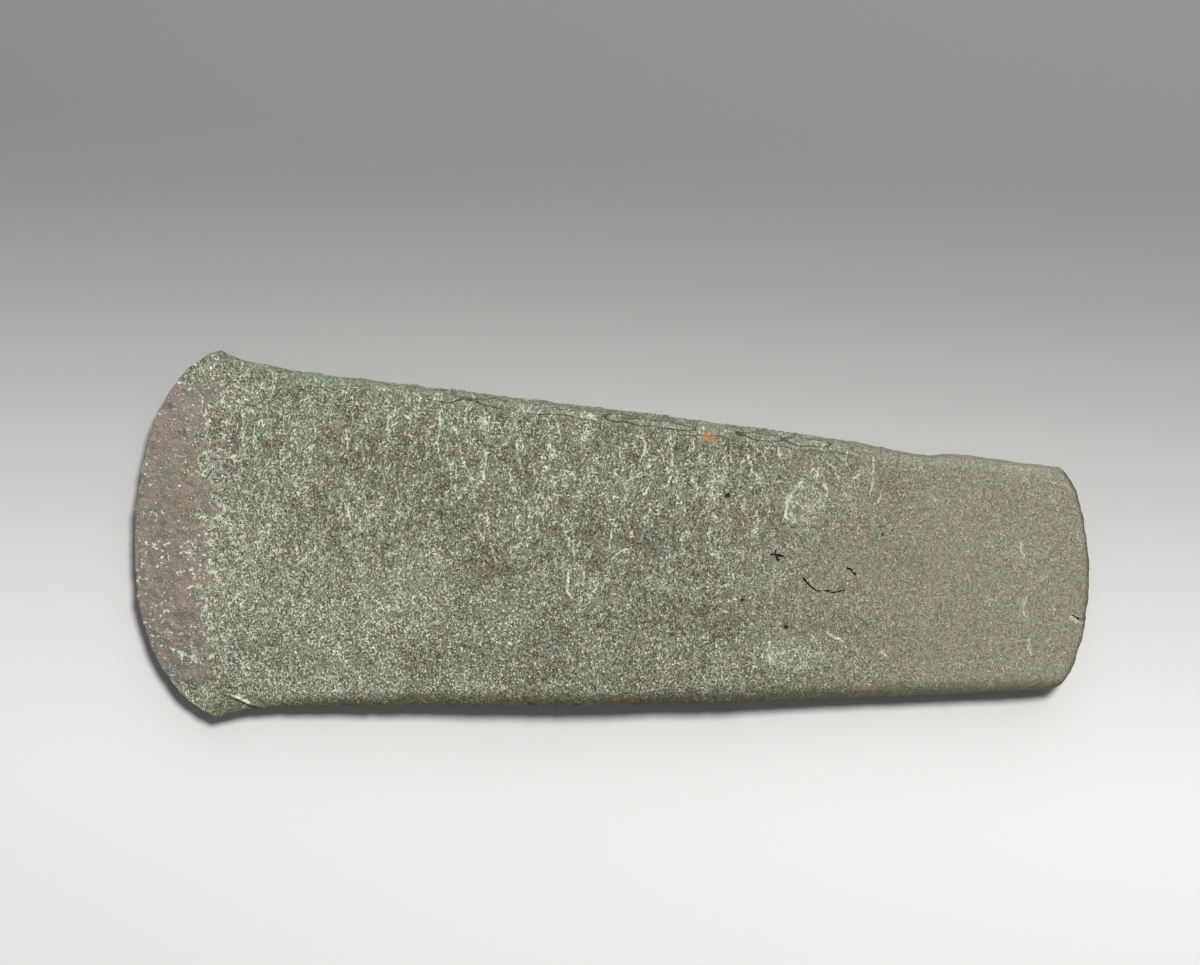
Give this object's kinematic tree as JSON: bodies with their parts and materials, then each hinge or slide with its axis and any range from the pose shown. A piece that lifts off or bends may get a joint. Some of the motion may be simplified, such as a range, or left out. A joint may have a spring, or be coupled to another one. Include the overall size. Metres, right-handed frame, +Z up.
{
  "type": "flat axe head",
  "caption": "Flat bronze axe head with a fan-shaped curved cutting edge, a lens-like body and a thinned, slightly rounded butt, lying on one broad face.",
  "frame": {"origin": "under the middle of the bounding box, on the surface the axe lies on", "axes": "+X along the length from the cutting edge to the butt, +Y across the width, +Z up out of the upper broad face"},
  "size_m": [0.17, 0.066, 0.0125],
  "materials": {
    "patinated_bronze": "matt grey-green corrosion over tin bronze, with pale green specks and a red-brown cutting edge"
  },
  "bodies": {
    "root": {"axe_head": "patinated_bronze"}
  },
  "joints": []
}
